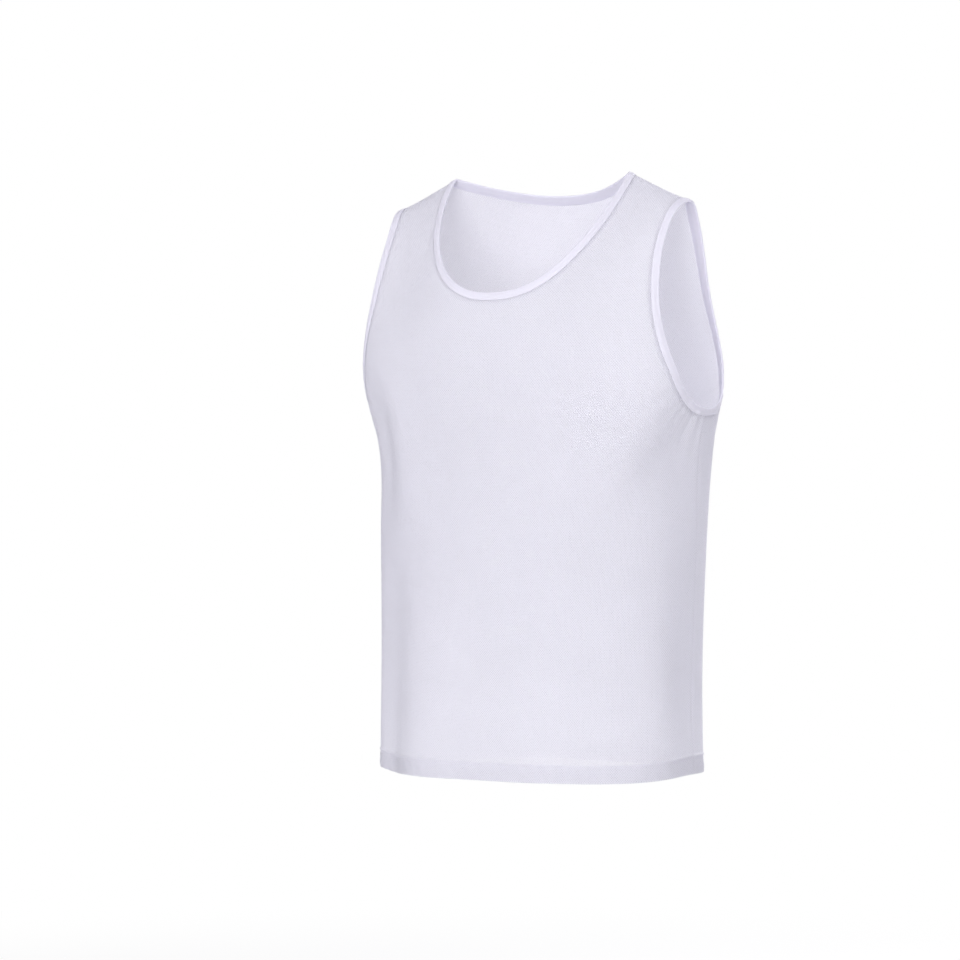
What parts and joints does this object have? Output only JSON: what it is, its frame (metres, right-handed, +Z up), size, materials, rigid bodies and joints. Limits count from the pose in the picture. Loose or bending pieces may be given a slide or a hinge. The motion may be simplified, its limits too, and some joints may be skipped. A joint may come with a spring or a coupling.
{
  "type": "training bib",
  "caption": "Sleeveless adult training bib in open mesh knit, hollow as worn, with bound round neck and armholes and a turned-up hem.",
  "frame": {"origin": "midway between the high points of the two shoulders, where the bib is held up", "axes": "+Z up along the wearer's height, -Y out of the front of the bib, +X towards the wearer's left"},
  "size_m": [0.4422, 0.2332, 0.684],
  "materials": {
    "mesh_knit": "pale lilac-white polyester mesh knit, matt with a faint sheen",
    "binding_knit": "smooth white rib knit, folded over the edge and stitched"
  },
  "bodies": {
    "root": {"front_panel": "mesh_knit", "back_panel": "mesh_knit", "hem": "mesh_knit", "neck_binding": "binding_knit", "armhole_binding_left": "binding_knit", "armhole_binding_right": "binding_knit"}
  },
  "joints": []
}
